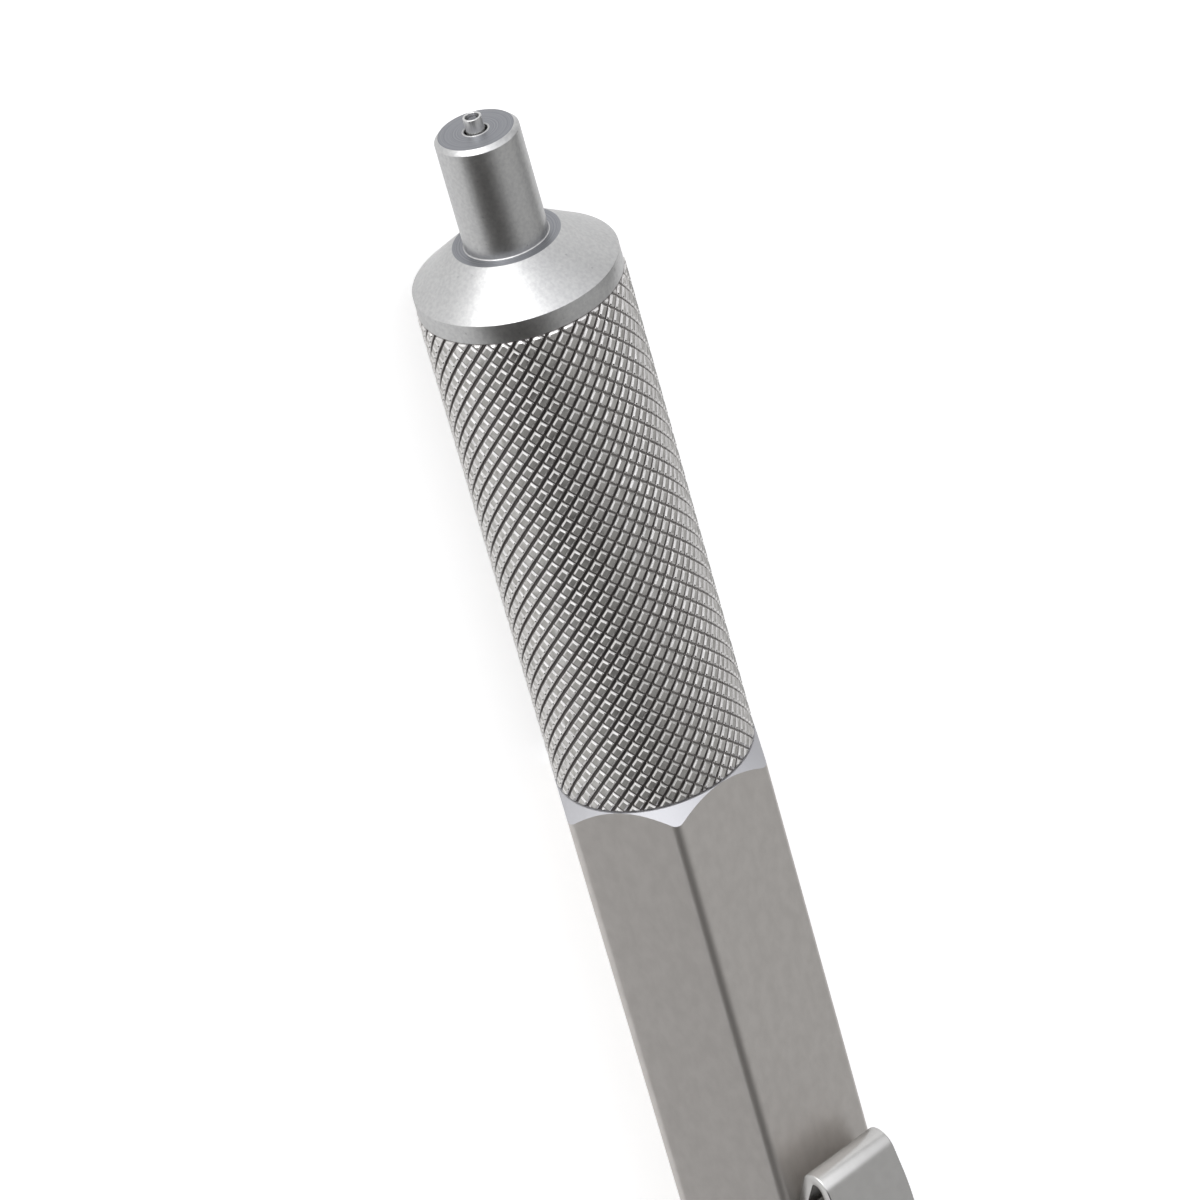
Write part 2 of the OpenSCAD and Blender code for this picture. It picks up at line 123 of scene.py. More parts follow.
# Knurl: for each family of grooves, how many go round the grip, how many cross a millimetre of
# its length, and half a groove as (distance from its middle, depth): a worn edge, a steep wall
KNURL = [(41, 1.273, [(0.145, 0), (0.075, 0.055), (0.025, 0.15)]),
         (36, 1.207, [(0.112, 0), (0.05, 0.055), (0.02, 0.09)])]
# How far wear has moved its edges, in patches of which size
KNURL_WEAR = 0.015
KNURL_WEAR_SIZE = 0.2
KNURL_WEAR_SEED = 7
GRIP_CHAMFER = 0.12

# Barrel
HEX_IN_R = 4.5
HEX_EDGE_R = 0.55
HEX_EDGE_CENTRE_R = (HEX_IN_R - HEX_EDGE_R) / math.cos(math.radians(30))
HEX_OUT_R = HEX_EDGE_CENTRE_R + HEX_EDGE_R
HEX_CHAMFER_LEN = 0.7
SPIGOT_LEN = 5.6

# Clip
CLIP_W = 4.0
CLIP_T = 0.6
CLIP_EDGE_R = 0.07
CLIP_SETBACK = 19.8
CLIP_HEIGHT = 3.18
CLIP_LEG_SLOPE = math.radians(30)
CLIP_RISE = math.radians(13)

# Points of a mesh that lie closer than this are one point
WELD = 0.0001


# Colour and nodes

def linear(hex_colour):
    """Linear RGBA of an sRGB hex colour."""
    shares = [int(hex_colour[i:i + 2], 16) / 255 for i in (1, 3, 5)]
    return (*[c / 12.92 if c <= 0.04045 else ((c + 0.055) / 1.055) ** 2.4 for c in shares], 1.0)


def add(tree, kind, inputs=(), output=0, **settings):
    """Adds a node and gives one of its outputs; inputs are (socket, value or link) pairs."""
    node = tree.nodes.new("ShaderNode" + kind)
    for name, value in settings.items():
        setattr(node, name, value)
    for socket, value in inputs:
        if isinstance(value, bpy.types.NodeSocket):
            tree.links.new(value, node.inputs[socket])
        else:
            node.inputs[socket].default_value = value
    return node.outputs[output] if node.outputs else None


def new_finish(name):
    """An empty material and its node tree."""
    material = bpy.data.materials.new(name)
    material.use_nodes = True
    material.node_tree.nodes.clear()
    return material, material.node_tree


def close_finish(tree, colour, roughness, relief=None, metallic=1.0, ior=None):
    """Ends a finish with its shader; relief is (height of 0 to 1, depth in mm, strength)."""
    inputs = [("Base Color", colour), ("Roughness", roughness), ("Metallic", metallic)]
    if relief:
        height, depth, strength = relief
        inputs.append(("Normal", add(tree, "Bump", [
            ("Height", height), ("Distance", depth * MM), ("Strength", strength)])))
    if ior:
        inputs.append(("IOR", ior))
    add(tree, "OutputMaterial", [("Surface", add(tree, "BsdfPrincipled", inputs))])


def patches(tree, size_mm, detail=2.0, stretch=(1, 1, 1)):
    """A pattern whose patches measure size_mm on the surface, stretched along an axis if asked."""
    point = add(tree, "VectorMath", [(0, add(tree, "TexCoord", output="Object")), (1, stretch)],
                operation="MULTIPLY")
    return add(tree, "TexNoise", [("Vector", point), ("Scale", 1 / (size_mm * MM)),
                                  ("Detail", detail)], "Fac")


def varied(tree, guide, first, second, start=0.35, end=0.65, **spread):
    """First to second while the guide goes from start to end: two values or two colours.

    A colour is an sRGB hex string or a link. Most of a pattern lies between 0.35 and 0.65.
    """
    share = add(tree, "MapRange", [("Value", guide), ("From Min", start), ("From Max", end)],
                **spread)
    if isinstance(second, str) or getattr(second, "type", None) == "RGBA":
        first, second = (linear(c) if isinstance(c, str) else c for c in (first, second))
        return add(tree, "Mix", [(0, share), (6, first), (7, second)], 2, data_type="RGBA")
    return add(tree, "Mix", [(0, share), (2, first), (3, second)])


def pitted(tree, metal):
    """A metal's colour with a few dark pits, left where the plating didn't take."""
    spots = varied(tree, patches(tree, 0.3, detail=1.0), 0.0, 0.35, 0.74, 0.8)
    return add(tree, "Mix", [(0, spots), (6, metal), (7, linear("#5E5E60"))], 2,
               data_type="RGBA")


def off_axis(tree):
    """Distance from the pencil's axis, in metres."""
    point = add(tree, "TexCoord", output="Object")
    arm = add(tree, "VectorMath", [(0, point), (1, AXIS)], operation="SUBTRACT")
    arm = add(tree, "VectorMath", [(0, arm), (1, (0, 1, 1))], operation="MULTIPLY")
    return add(tree, "VectorMath", [(0, arm)], "Value", operation="LENGTH")


def facing_back(tree):
    """How squarely a face looks back along the pencil: 1 towards the button, -1 to the tip."""
    return add(tree, "SeparateXYZ", [("Vector", add(tree, "TexCoord", output="Normal"))], "X")


def satin_chrome():
    """Matt chrome over turned and bead-blasted brass: soft, wide highlights and a fine grain.

    Faces square to the axis keep the rings of the facing tool, and are painted darker, a
    painted shade for how dim they look from the side.
    The dimples of the blast, here and on the other chromed parts, are 0.05 mm wide in reality
    and are drawn 0.1 to 0.16 mm wide so that they show.
    """
    material, tree = new_finish("satin_chrome_blasted")
    cloud = patches(tree, 0.6, detail=3.0)
    beads = patches(tree, 0.16, detail=3.0)
    rings = add(tree, "TexNoise", [("W", off_axis(tree)), ("Scale", 1 / (0.06 * MM)),
                                   ("Detail", 1.0)], "Fac", noise_dimensions="1D")
    blasted = pitted(tree, varied(tree, beads, "#BFBFBF", "#CBCBCA"))
    # Faces square to the axis get a darker colour: painted shade for their dim reflection.
    faced_painted_shade = varied(tree, rings, "#8A8B90", "#989A9E")
    square = (-0.9, -0.98)
    facing = facing_back(tree)
    close_finish(tree, varied(tree, facing, blasted, faced_painted_shade, *square),
                 varied(tree, cloud, 0.38, 0.36),
                 (varied(tree, facing, beads, rings, *square), 0.006, 0.7))
    return material


def knurled_chrome():
    """The same chrome on the knurl: its grooves painted dark, a painted shade for their shadow,
    matt on the crests, and its bevelled edges smoother and painted lighter, a painted highlight.
    """
    material, tree = new_finish("satin_chrome_knurled")
    cloud = patches(tree, 0.5, detail=3.0)
    height = off_axis(tree)
    wall_top = ((GRIP_R - 0.1) * MM, (GRIP_R - 0.052) * MM)
    bevel_top = ((GRIP_R - 0.012) * MM, (GRIP_R - 0.003) * MM)
    matt = varied(tree, cloud, "#BCBAB6", "#D3D1CD")
    # The bevels below the crest are painted lighter: a painted highlight.
    crest_and_painted_highlight = varied(tree, height, "#E2E0DE", matt, *bevel_top)
    worn = varied(tree, height, 0.24, varied(tree, cloud, 0.6, 0.5), *bevel_top)
    # Below the tops of the groove walls the colour is painted dark: painted shade.
    close_finish(tree, varied(tree, height, "#767270", crest_and_painted_highlight, *wall_top),
                 varied(tree, height, 0.5, worn, *wall_top), (patches(tree, 0.1), 0.006, 0.7))
    return material


def barrel_chrome():
    """Matt chrome over drawn and blasted brass, a little warmer than the turned parts.

    The chamfers turned at its ends are duller and cooler than its flats.
    """
    material, tree = new_finish("satin_chrome_drawn")
    cloud = patches(tree, 0.5, detail=4.0, stretch=(0.6, 1, 1))
    lean = add(tree, "Math", [(0, facing_back(tree))], operation="ABSOLUTE")
    chamfer = (0.2, 0.4)
    drawn = varied(tree, cloud, "#CFCBC7", "#D5D1CD")
    close_finish(tree, varied(tree, lean, drawn, "#CDCDD0", *chamfer),
                 varied(tree, lean, varied(tree, cloud, 0.47, 0.45), 0.62, *chamfer),
                 (patches(tree, 0.12), 0.006, 0.6))
    return material


def clip_steel():
    """Spring steel, tumbled and chromed: smoother than the barrel, with a sharper highlight.

    Inside the fold the steel is painted dark: a painted shade for the shadow that fills it.
    """
    material, tree = new_finish("tumbled_clip_steel")
    cloud = patches(tree, 0.6, detail=3.0)
    fold_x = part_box("clip")[0].x
    along = add(tree, "SeparateXYZ", [("Vector", add(tree, "TexCoord", output="Object"))], "X")
    outside = varied(tree, cloud, "#C8C7C5", "#CCCBC9")
    # Faces turned back inside the fold are painted dark: painted shade.
    fold_painted_shade = varied(tree, facing_back(tree), outside, "#504D4A", 0.1, 0.25)
    colour = varied(tree, along, outside, fold_painted_shade, fold_x + 6 * MM, fold_x + 4 * MM)
    close_finish(tree, colour, varied(tree, cloud, 0.25, 0.27))
    return material


def bare_metal(name, marks, colours, roughness, relief=None):
    """A bare metal whose colour and roughness follow the marks that its making left.

    Marks are (size in mm, detail, stretch), and relief is (depth in mm, strength). Drawing and
    turning leave marks 0.01 mm wide in reality, which are drawn coarser so that they show.
    """
    material, tree = new_finish(name)
    pattern = patches(tree, *marks)
    close_finish(tree, varied(tree, pattern, *colours), varied(tree, pattern, *roughness),
                 relief and (pattern, *relief))
    return material


def moulded(name, dark, light, roughness, grain_mm, ior, metallic=0.0):
    """A moulded rubber or plastic: its own colour, and the grain of the mould."""
    material, tree = new_finish(name)
    cloud = patches(tree, grain_mm * 6)
    grain = patches(tree, grain_mm, detail=1.0)
    close_finish(tree, varied(tree, cloud, dark, light),
                 varied(tree, cloud, roughness - 0.05, roughness + 0.05),
                 (grain, 0.004, 0.4), metallic, ior)
    return material


FINISHES = {
    "satin_chrome": satin_chrome(),
    "satin_chrome_knurled": knurled_chrome(),
    "barrel_chrome": barrel_chrome(),
    "clip_steel": clip_steel(),
    # Stainless steel, drawn: bright, with fine lines along the draw
    "stainless": bare_metal(
        "drawn_stainless", marks=(0.04, 1.0, (0.05, 1, 1)), colours=("#B8B6B2", "#C6C4C0"),
        roughness=(0.16, 0.26), relief=(0.001, 0.3)),
    # The fine sleeve's stainless steel, drawn and worn by paper: pale, with a soft sheen
    "stainless_sleeve": bare_metal(
        "worn_sleeve_tube", marks=(0.05, 1.0, (0.1, 1, 1)), colours=("#D0D0CF", "#DEDEDD"),
        roughness=(0.32, 0.38)),
    # Brass, turned and left plain: yellow, with fine rings from the tool
    "brass": bare_metal(
        "turned_brass", marks=(0.05, 1.0, (1, 0.02, 0.02)), colours=("#C9A866", "#D8BA7A"),
        roughness=(0.22, 0.34), relief=(0.002, 0.4)),
    # Spring wire, hard drawn: grey and half bright
    "spring_steel": bare_metal(
        "drawn_spring_wire", marks=(0.3, 2.0, (1, 1, 1)), colours=("#8E9094", "#A6A8AB"),
        roughness=(0.25, 0.38)),
    # Aluminium tube, drawn and left natural: pale and slightly frosted
    "aluminium_tube": bare_metal(
        "drawn_aluminium", marks=(0.08, 2.0, (0.04, 1, 1)), colours=("#BFC1C4", "#CDCFD1"),
        roughness=(0.32, 0.44), relief=(0.002, 0.3)),
    # Nitrile rubber, moulded: black and dull
    "rubber": moulded("nitrile_rubber", "#17181A", "#232427", roughness=0.6, grain_mm=0.15,
                      ior=1.52),
    # Acetal, moulded: black with a low sheen
    "black_plastic": moulded("moulded_acetal", "#141516", "#1F2022", roughness=0.4,
                             grain_mm=0.12, ior=1.48),
    # Polymer-bonded graphite, fired: dark grey with a metallic sheen of its own
    "graphite": moulded("fired_graphite", "#5A5B60", "#77787D", roughness=0.3, grain_mm=0.05,
                        ior=1.8, metallic=0.7),
    # Vinyl eraser, cut from a rod: white and dead matt, with a grey bloom from the leads
    "eraser_white": moulded("vinyl_eraser", "#E3E1DD", "#EAE8E4", roughness=0.65, grain_mm=0.1,
                            ior=1.5),
}


# Shapes

def softened(outline, edge, steps=3):
    """A closed outline of (station, radius) corners, each turned into a small curve."""
    least_bend = math.radians(25)
    longest_cut = 0.45
    points = []
    count = len(outline)
    for i, corner in enumerate(Vector(p) for p in outline):
        to_last = Vector(outline[i - 1]) - corner
        to_next = Vector(outline[(i + 1) % count]) - corner
        bend = math.pi - to_last.angle(to_next)
        if bend < least_bend or corner.y == 0:
            points.append(tuple(corner))
            continue
        room = longest_cut * min(to_last.length, to_next.length)
        cut = min(edge * math.tan(bend / 2), room)
        start = corner + to_last.normalized() * cut
        end = corner + to_next.normalized() * cut
        for k in range(steps + 1):
            t = k / steps
            points.append(tuple(start * (1 - t) ** 2 + corner * 2 * t * (1 - t) + end * t ** 2))
    return points


def arc(centre, r, start, end, steps):
    """Points of a round corner between two angles in degrees, about a (station, radius)."""
    angles = [math.radians(start + (end - start) * k / steps) for k in range(steps + 1)]
    return [(centre[0] + r * math.cos(a), centre[1] + r * math.sin(a)) for a in angles]


def skin(columns):
    """Points and quads of a closed skin through columns that stand side by side round the axis."""
    rows = len(columns[0])
    points = [point for column in columns for point in column]
    faces = []
    for i in range(len(columns)):
        here, there = i * rows, (i + 1) % len(columns) * rows
        for k in range(rows):
            up = (k + 1) % rows
            faces.append((here + k, there + k, there + up, here + up))
    return points, faces


def rod(rings):
    """Points and faces of a rod through rings of points, closed at both of its ends."""
    around = len(rings[0])
    points = [point for ring in rings for point in ring]
    faces = []
    for i in range(len(rings) - 1):
        for k in range(around):
            here, on = i * around + k, i * around + (k + 1) % around
            faces.append((here, on, on + around, here + around))
    faces.append(tuple(range(around)))
    faces.append(tuple(len(points) - 1 - k for k in range(around)))
    return points, faces


def dress(name, mesh, node, shade=30, finish=None):
    """Makes mesh a piece that stands for a node: its body, its slot and its finish."""
    record = frame["record"]
    slot = next(p["material_slot"] for p in record["subparts"] if p["node"] == node)
    body = next(b for b, nodes in record["behaviour"]["bodies"].items() if node in nodes)
    piece = bpy.data.objects.new(name, mesh)
    bpy.context.scene.collection.objects.link(piece)
    mesh.materials.append(FINISHES[finish or slot])
    if shade:
        mesh.shade_smooth()
        mesh.set_sharp_from_angle(angle=math.radians(shade))
        piece.modifiers.new("even_faces", "WEIGHTED_NORMAL").keep_sharp = True
    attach(piece, body)
    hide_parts(node)
    return piece


def woven(name, points, faces):
    """A mesh from points and faces, with double points joined and its faces turned outwards."""
    mesh = bpy.data.meshes.new(name)
    mesh.from_pydata(points, [], faces)
    work = bmesh.new()
    work.from_mesh(mesh)
    bmesh.ops.remove_doubles(work, verts=work.verts, dist=WELD * MM)
    bmesh.ops.recalc_face_normals(work, faces=work.faces)
    work.to_mesh(mesh)
    work.free()
    return mesh


def turned(name, node, outline, edge=0.03, columns=256, finish=None):
    """A piece turned on a lathe, from a closed outline of (station, radius) corners."""
    soft = softened(outline, edge)
    turns = [2 * math.pi * i / columns for i in range(columns)]
    mesh = woven(name, *skin([[place(s, r, turn) for s, r in soft] for turn in turns]))
    return dress(name, mesh, node, finish=finish)


def nose():
    """The nose: a tube with a chamfered end on a flat shoulder, a steep cone and a plain band."""
    spigot_r, wide_r, bore_r = 3.4, 2.6, 1.25
    wide_start, lip = 6.2, 1.2
    fillet = arc((NOSE_TUBE_LEN - NOSE_FILLET, NOSE_R + NOSE_FILLET), NOSE_FILLET, 270, 360, 12)
    turned("nose_shell", "nose_cone", [
        (-RIM_HEIGHT, NOSE_HOLE_R + RIM_WIDTH / 3), (-RIM_HEIGHT, NOSE_HOLE_R + RIM_WIDTH / 2),
        (0, NOSE_HOLE_R + RIM_WIDTH), (0, NOSE_R - NOSE_CHAMFER), (NOSE_CHAMFER, NOSE_R),
        *fillet, (NOSE_TUBE_LEN, SHOULDER_R), (CONE_END, BAND_R), (NOSE_END, BAND_R),
        (NOSE_END, spigot_r), (NOSE_END + SPIGOT_LEN, spigot_r), (NOSE_END + SPIGOT_LEN, wide_r),
        (wide_start, wide_r), (wide_start, bore_r), (lip, bore_r), (lip, NOSE_HOLE_R),
        (0, NOSE_HOLE_R)], edge=0.035)


def lead_sleeve():
    """The sleeve: a thin drawn tube with its rim rounded so that it slides on paper."""
    bore_r = 0.3
    start, end = front("lead_sleeve"), back("lead_sleeve")
    turned("sleeve_tube", "lead_sleeve", [
        (start, bore_r), (start, SLEEVE_R), (end, SLEEVE_R), (end, bore_r)],
        edge=0.04, columns=96, finish="stainless_sleeve")


def groove_steps(starts, per_mm, half_groove):
    """The (place, depth) steps across one groove, placed in grooves from its middle."""
    pitch = 1 / math.hypot(per_mm, starts / (2 * math.pi * GRIP_R))
    first_half = [(-half / pitch, deep) for half, deep in half_groove]
    return first_half + [(-at, deep) for at, deep in reversed(first_half)]


def knurl_surface():
    """Points and quads of the knurl: where the steps of one family meet those of the other."""
    (starts_a, rate_a, half_a), (starts_b, rate_b, half_b) = KNURL
    steps_a = groove_steps(starts_a, rate_a, half_a)
    steps_b = groove_steps(starts_b, rate_b, half_b)
    steps = len(steps_a)
    scale = starts_b * rate_a + starts_a * rate_b
    wrap, shift = starts_a * steps, starts_b * steps
    numbers, points, faces = {}, [], []
    # Without a seed the wear would come from the clock, and differ on each run
    seed_set(KNURL_WEAR_SEED)

    def crossing(i, j):
        """The frame's point where step i of one family meets step j of the other, worn."""
        at_a, deep_a = steps_a[i % steps]
        at_b, deep_b = steps_b[j % steps]
        p, q = i // steps + at_a, j // steps + at_b
        station = (starts_b * p + starts_a * q) / scale
        turn = 2 * math.pi * (rate_b * p - rate_a * q) / scale
        r = GRIP_R - max(deep_a, deep_b)
        spot = place(station, r, turn) / (KNURL_WEAR_SIZE * MM)
        wear = turbulence_vector(spot, 1, False) * KNURL_WEAR
        return place(station + wear.x, r - abs(wear.y), turn + wear.z / GRIP_R)

    def number(i, j):
        """Number of a crossing's point; past the last groove it is the first one again."""
        if i >= wrap:
            i, j = i - wrap, j + shift
        if (i, j) not in numbers:
            numbers[i, j] = len(points)
            points.append(crossing(i, j))
        return numbers[i, j]

    overrun = 1.0
    low, high = (NOSE_END - overrun) * scale, (GRIP_END + overrun) * scale
    for i in range(wrap):
        first = math.floor((low - starts_b * i / steps) / starts_a) * steps
        last = math.ceil((high - starts_b * i / steps) / starts_a) * steps
        for j in range(first, last):
            faces.append((number(i, j), number(i + 1, j), number(i + 1, j + 1), number(i, j + 1)))
    return points, faces


def arm_of(point):
    """The way to a point from the axis, square to the axis."""
    return Vector((0, point.y, point.z)) - AXIS


def cut_knurl(work):
    """Cuts the knurl to the grip's length and turns a chamfer on each end."""
    for station, outwards in ((NOSE_END, -1), (GRIP_END, 1)):
        for offset, clear in ((0, True), (GRIP_CHAMFER, False)):
            bmesh.ops.bisect_plane(
                work, geom=[*work.verts, *work.edges, *work.faces], dist=WELD * MM,
                plane_co=place(station - outwards * offset, 0), plane_no=(outwards, 0, 0),
                clear_outer=clear)
    for vert in work.verts:
        depth_in = min(vert.co.x - place(NOSE_END, 0).x, place(GRIP_END, 0).x - vert.co.x)
        limit = (GRIP_R - GRIP_CHAMFER) * MM + max(depth_in, 0)
        arm = arm_of(vert.co)
        if arm.length > limit:
            vert.co.yz = (AXIS + arm * (limit / arm.length)).yz


def close_grip(work):
    """Closes the cut knurl: flat rings down to the socket, the spigot and the bore."""
    socket_r, bore_r, spigot_r = 3.42, 2.75, 3.57
    inner_rims = []
    for end, outer_r in ((NOSE_END, socket_r), (GRIP_END, spigot_r)):
        x = place(end, 0).x
        rim = [edge for edge in work.edges
               if edge.is_boundary and all(abs(v.co.x - x) < 10 * WELD * MM for v in edge.verts)]
        inner = end + SPIGOT_LEN
        for station, r in ((end, outer_r), (inner, outer_r), (inner, bore_r)):
            made = bmesh.ops.extrude_edge_only(work, edges=rim)["geom"]
            for vert in (g for g in made if isinstance(g, bmesh.types.BMVert)):
                arm = arm_of(vert.co)
                vert.co = place(station, 0) + arm * (r * MM / arm.length)
            rim = [g for g in made if isinstance(g, bmesh.types.BMEdge) and g.is_boundary]
        inner_rims += rim
    bmesh.ops.bridge_loops(work, edges=inner_rims)


def knurled_grip():
    """The grip: two families of helical grooves leave flat-topped diamonds between them."""
    points, faces = knurl_surface()
    mesh = bpy.data.meshes.new("grip_knurl")
    mesh.from_pydata(points, [], faces)
    work = bmesh.new()
    work.from_mesh(mesh)
    cut_knurl(work)
    close_grip(work)
    bmesh.ops.recalc_face_normals(work, faces=work.faces)
    work.to_mesh(mesh)
    work.free()
    dress("grip_knurl", mesh, "knurled_grip", shade=0, finish="satin_chrome_knurled")


def hex_outline():
    """(up, across) points round the hexagon: its rounded edges, and its flats in short steps."""
    edge_steps, flat_steps = 8, 20
    next_side = Matrix.Rotation(math.radians(60), 2)
    points = []
    for k in range(6):
        corner = math.radians(30 + 60 * k)
        edge = []
        for i in range(edge_steps + 1):
            a = corner + math.radians(-30 + 60 * i / edge_steps)
            edge.append((HEX_EDGE_CENTRE_R * math.cos(corner) + HEX_EDGE_R * math.cos(a),
                         HEX_EDGE_CENTRE_R * math.sin(corner) + HEX_EDGE_R * math.sin(a)))
        start, end = Vector(edge[-1]), next_side @ Vector(edge[0])
        points += edge
        points += [tuple(start.lerp(end, i / flat_steps)) for i in range(1, flat_steps)]
    return points


def hex_barrel():
    """The barrel: six flats with softened edges, and a turned chamfer that cuts arcs in them."""
    bore_r, socket_r = 3.85, 3.59
    beyond_chamfer = 2 * HEX_CHAMFER_LEN
    columns = []
    for up, across in hex_outline():
        r = math.hypot(up, across)
        turn = math.atan2(across, up)
        cut = max(r - HEX_IN_R, 0) / (HEX_OUT_R - HEX_IN_R) * HEX_CHAMFER_LEN
        columns.append([place(s, q, turn) for s, q in (
            (GRIP_END, socket_r), (GRIP_END, HEX_IN_R), (GRIP_END + cut, r),
            (GRIP_END + beyond_chamfer, r), (BARREL_END - beyond_chamfer, r),
            (BARREL_END - cut, r), (BARREL_END, HEX_IN_R), (BARREL_END, socket_r),
            (BARREL_END - SPIGOT_LEN, socket_r), (BARREL_END - SPIGOT_LEN, bore_r),
            (GRIP_END + SPIGOT_LEN, bore_r), (GRIP_END + SPIGOT_LEN, socket_r))])
    dress("barrel_shell", woven("barrel_shell", *skin(columns)), "hex_barrel", shade=20)


def clip_line():
    """Middle line of the clip's sheet, from its foot round the fold to its root."""
    bend_r, foot_r, crown_r, root_r = CLIP_T, 1.5 * CLIP_T, 9.0, 1.5 * CLIP_T
    rise_len, gap, depth, foot_end = 1.1, 0.05, 1.0, 325
    line_h = CLIP_HEIGHT - CLIP_T / 2
    bend = Vector((GRIP_END + CLIP_SETBACK + bend_r + CLIP_T / 2,
                   line_h - crown_r * (1 - math.cos(CLIP_RISE)) - rise_len * math.sin(CLIP_RISE)
                   - bend_r * math.cos(CLIP_RISE)))
    foot_h = CLIP_T / 2 + gap + foot_r
    drop = bend.y - foot_h - (bend_r - foot_r) * math.cos(CLIP_LEG_SLOPE)
    foot = (bend.x - (bend_r - foot_r) * math.sin(CLIP_LEG_SLOPE)
            + drop / math.tan(CLIP_LEG_SLOPE), foot_h)
    rise_end = (bend + bend_r * Vector((-math.sin(CLIP_RISE), math.cos(CLIP_RISE)))
                + rise_len * Vector((math.cos(CLIP_RISE), math.sin(CLIP_RISE))))
    crown = rise_end + crown_r * Vector((math.sin(CLIP_RISE), -math.cos(CLIP_RISE)))
    root_s = (BARREL_END + back("clip_collar")) / 2
    leg = 270 - math.degrees(CLIP_LEG_SLOPE)
    rise = 90 + math.degrees(CLIP_RISE)
    return (arc(foot, foot_r, foot_end, leg, 16) + arc(bend, bend_r, leg, rise, 28)
            + arc(crown, crown_r, rise, 90, 10)
            + arc((root_s - root_r, line_h - root_r), root_r, 90, 0, 14) + [(root_s, -depth)])


def clip_section():
    """(across, up) points round the clip's strip, with its four long edges rounded."""
    flat_w, flat_t = CLIP_W / 2 - CLIP_EDGE_R, CLIP_T / 2 - CLIP_EDGE_R
    points = []
    for across, up, start in ((1, 1, 0), (-1, 1, 90), (-1, -1, 180), (1, -1, 270)):
        for k in range(4):
            a = math.radians(start + 30 * k)
            points.append((across * flat_w + CLIP_EDGE_R * math.cos(a),
                           up * flat_t + CLIP_EDGE_R * math.sin(a)))
    return points


def spring_clip():
    """The clip: one strip folded back under itself, with its cut edges tumbled round."""
    line = [Vector(p) for p in clip_line()]
    section = clip_section()
    rings = []
    for i, here in enumerate(line):
        ahead = (line[min(i + 1, len(line) - 1)] - line[max(i - 1, 0)]).normalized()
        side = Vector((-ahead.y, ahead.x))
        ring = [(across, here + side * up) for across, up in section]
        rings.append([Vector((TIP_X + spot.x * MM, across * MM, AXIS_Z + (HEX_IN_R + spot.y) * MM))
                      for across, spot in ring])
    dress("clip_strip", woven("clip_strip", *rod(rings)), "clip")


def twist_knob():
    """The knob: a ring of ball-ended flutes between two plain bands, and the button's well."""
    flutes, flute_r = 36, 0.22
    front_band, back_band, well_wall, bore_r, edge = 2.1, 2.0, 1.35, 2.95, 0.12
    front_s, end_s = front("twist_knob"), back("twist_knob")
    floor_s, well_r = front_s + front_band, KNOB_R - well_wall
    first, last = front_s + front_band, end_s - back_band
    rounding = [(0, 0), (0.03, 0.4), (0.08, 0.7), (0.16, 0.92), (0.25, 1)]
    rows = [(first + d, share) for d, share in rounding]
    rows += [(last - d, share) for d, share in reversed(rounding)]
    rise = flute_r / 3
    half = math.sqrt(flute_r ** 2 - rise ** 2)
    rim = arc((front_s + edge, KNOB_R - edge), edge, 180, 90, 4)
    back_rim = arc((end_s - 2 * edge, KNOB_R - 2 * edge), 2 * edge, 90, 0, 6)

    def column(turn, deep):
        """The knob's outline at a turn, with its flute cut to a depth."""
        outline = [(front_s, bore_r), *rim, *[(s, KNOB_R - deep * share) for s, share in rows],
                   *back_rim, (end_s, well_r), (floor_s, well_r), (floor_s, bore_r)]
        return [place(s, r, turn) for s, r in outline]

    columns = []
    for i in range(flutes):
        middle = 2 * math.pi * i / flutes
        for k in range(-4, 5):
            offset = k / 4 * half
            deep = max(math.sqrt(flute_r ** 2 - offset ** 2) - rise, 0)
            columns.append(column(middle + offset / KNOB_R, deep))
        columns.append(column(middle + math.pi / flutes, 0))
    dress("knob_shell", woven("knob_shell", *skin(columns)), "twist_knob", shade=35)


def push_cap():
    """The cap: a drawn cup with a round shoulder."""
    start, end = front("push_cap"), back("push_cap")
    wall, floor_t, centre_r = 0.55, 1.3, 0.001
    turned("cap_shell", "push_cap", [
        (start, CAP_R - wall), (start, CAP_R),
        *arc((end - wall, CAP_R - wall), wall, 90, 0, 12), (end, centre_r),
        (end - floor_t, centre_r), (end - floor_t, CAP_R - wall)], edge=0.05)


def return_spring():
    """The button's spring: one wire wound in a helix."""
    coils, wire_r, around, steps = 6, 0.125, 10, 40
    coil_r = radius("return_spring") - wire_r
    start, end = front("return_spring") + wire_r, back("return_spring") - wire_r
    rings = []
    for i in range(coils * steps + 1):
        share = i / (coils * steps)
        angles = [2 * math.pi * k / around for k in range(around)]
        rings.append([place(start + (end - start) * share + wire_r * math.sin(a),
                            coil_r + wire_r * math.cos(a), 2 * math.pi * coils * share)
                      for a in angles])
    coil = dress("spring_coil", woven("spring_coil", *rod(rings)), "return_spring", shade=60)
    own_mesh(coil)


nose()
lead_sleeve()
return_spring()
knurled_grip()
hex_barrel()
spring_clip()
twist_knob()
push_cap()

for part in frame["record"]["subparts"]:
    node = frame["nodes"][part["node"]]
    node.data.materials.clear()
    node.data.materials.append(FINISHES[part["material_slot"]])


# Studio

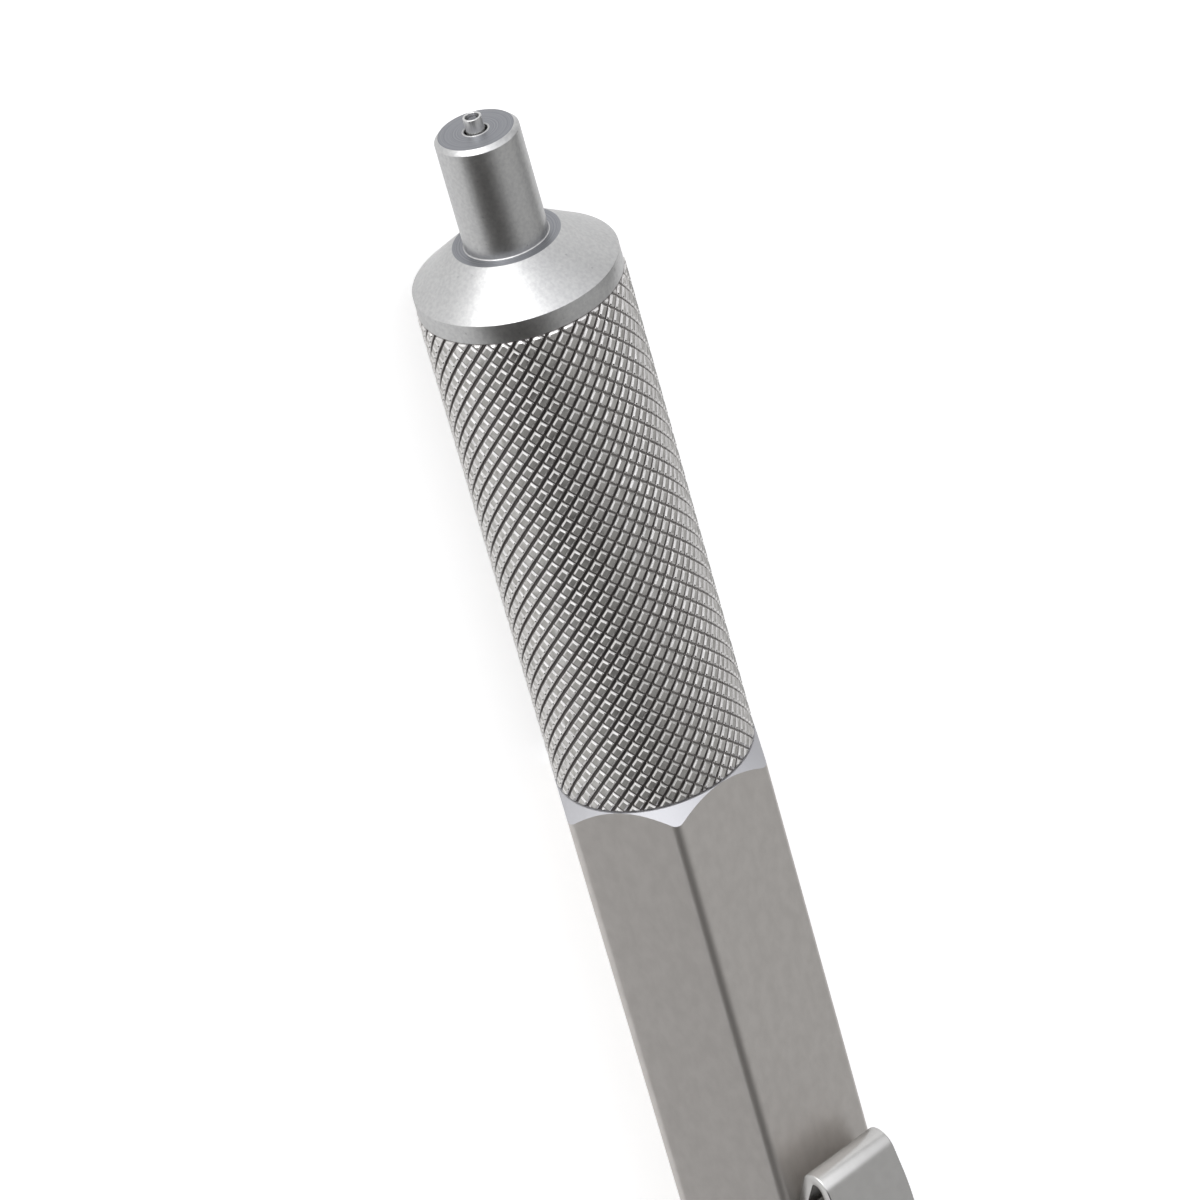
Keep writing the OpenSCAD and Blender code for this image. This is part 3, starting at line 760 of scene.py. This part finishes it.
def floor():
    """A white table: seen white by the camera and in the metal, with the pencil's soft shadow."""
    half, gap = 2.0, 0.02
    mesh = bpy.data.meshes.new("table_top")
    mesh.from_pydata([(-half, -half, 0), (half, -half, 0), (half, half, 0), (-half, half, 0)], [],
                     [(0, 1, 2, 3)])
    table = bpy.data.objects.new("table_top", mesh)
    table.location.z = cad_box[0].z - gap * MM
    bpy.context.scene.collection.objects.link(table)
    material, tree = new_finish("white_table")
    by_camera, in_gloss, in_glass = (
        add(tree, "LightPath", output=ray)
        for ray in ("Is Camera Ray", "Is Glossy Ray", "Is Transmission Ray"))
    seen = add(tree, "Math", [(0, by_camera), (1, in_gloss)], operation="MAXIMUM")
    seen = add(tree, "Math", [(0, seen), (1, in_glass)], operation="MAXIMUM")
    plain = add(tree, "BsdfDiffuse", [("Color", linear("#EBEBEB"))])
    shaded = add(tree, "BsdfPrincipled", [("Base Color", linear("#DEDEDE")), ("Roughness", 0.2)])
    glow = add(tree, "Emission", [("Color", linear("#FFFFFF")),
                                  ("Strength", varied(tree, by_camera, 0.4, 0.62, 0.0, 1.0))])
    white = add(tree, "AddShader", [(0, shaded), (1, glow)])
    add(tree, "OutputMaterial", [
        ("Surface", add(tree, "MixShader", [(0, seen), (1, plain), (2, white)]))])
    mesh.materials.append(material)


def studio_world():
    """A bright screen over the tip, a dimmer room behind, and one dark field in that room."""
    world = bpy.data.worlds.new("white_studio")
    world.use_nodes = True
    tree = world.node_tree
    tree.nodes.clear()
    way = add(tree, "TexCoord", output="Generated")

    def field(direction, outside, fold_painted_shade, edge, core):
        """A soft-edged field round a direction; edge and core are degrees away from it."""
        near = add(tree, "VectorMath", [(0, way), (1, direction)], "Value",
                   operation="DOT_PRODUCT")
        return varied(tree, near, outside, fold_painted_shade, math.cos(math.radians(edge)),
                      math.cos(math.radians(core)), interpolation_type="SMOOTHSTEP")

    def fade(side, first, second, start, end):
        """A soft change from first to second along one of the room's axes."""
        along = add(tree, "SeparateXYZ", [("Vector", way)], side)
        return varied(tree, along, first, second, start, end, interpolation_type="SMOOTHSTEP")

    dark_way = Vector((0.47, -0.62, 0.62)).normalized()
    room = field(dark_way, "#BEBEBE", "#26221E", edge=48, core=8)
    dim = field((0, 1, 0.05), 1.0, 0.45, edge=42, core=10)
    ahead, above, aside = (fade("X", 0.0, 1.0, -0.05, -0.5), fade("Z", 0.35, 1.0, 0.0, 0.45),
                           fade("Y", 1.0, 0.55, 0.0, 0.6))
    screen = add(tree, "Math", [(0, ahead), (1, above)], operation="MULTIPLY")
    screen = add(tree, "Math", [(0, screen), (1, aside)], operation="MULTIPLY")
    room_light = add(tree, "Background", [("Color", room), ("Strength", dim)])
    screen_light = add(tree, "Background", [("Color", linear("#F9FAFF")), ("Strength", screen)])
    add(tree, "OutputWorld", [
        ("Surface", add(tree, "AddShader", [(0, room_light), (1, screen_light)]))])
    bpy.context.scene.world = world


def soft_box(name, direction, distance, size, watts):
    """A square lamp with a cloth front, turned to the nose."""
    lamp = bpy.data.lights.new(name, "AREA")
    lamp.size = size
    lamp.energy = watts
    box = bpy.data.objects.new(name, lamp)
    way = Vector(direction).normalized()
    aim = place(6, 0)
    box.location = aim + way * distance
    box.rotation_mode = "QUATERNION"
    box.rotation_quaternion = way.to_track_quat("Z", "Y")
    box.visible_camera = False
    bpy.context.scene.collection.objects.link(box)


def camera():
    """The photograph's view: 193 mm on a 36 mm wide frame, 264 mm from the nose's face."""
    azimuth, elevation, roll = (math.radians(a) for a in (-50.745, 46.645, 115.56))
    nose_right, nose_down, nose_away = -5.097, -19.261, 263.723
    lens = bpy.data.cameras.new("photo_view")
    lens.sensor_width = 36
    lens.lens = 193.21
    lens.clip_start = 0.01
    eye = bpy.data.objects.new("photo_view", lens)
    level_right = Vector((math.cos(azimuth), math.sin(azimuth), 0))
    backward = Vector((math.sin(azimuth) * math.cos(elevation),
                       -math.cos(azimuth) * math.cos(elevation), math.sin(elevation)))
    level_up = backward.cross(level_right)
    right = level_right * math.cos(roll) + level_up * math.sin(roll)
    up = backward.cross(right)
    turn = Matrix((right, up, backward)).transposed()
    eye.matrix_world = Matrix.Translation(
        place(0, 0) + (-right * nose_right + up * nose_down + backward * nose_away) * MM
    ) @ turn.to_4x4()
    bpy.context.scene.collection.objects.link(eye)
    bpy.context.scene.camera = eye


floor()
studio_world()
soft_box("key_box", direction=(-0.88, -0.46, 0.1), distance=0.4, size=0.3, watts=0.87)
camera()
bpy.context.scene.view_settings.view_transform = "Standard"
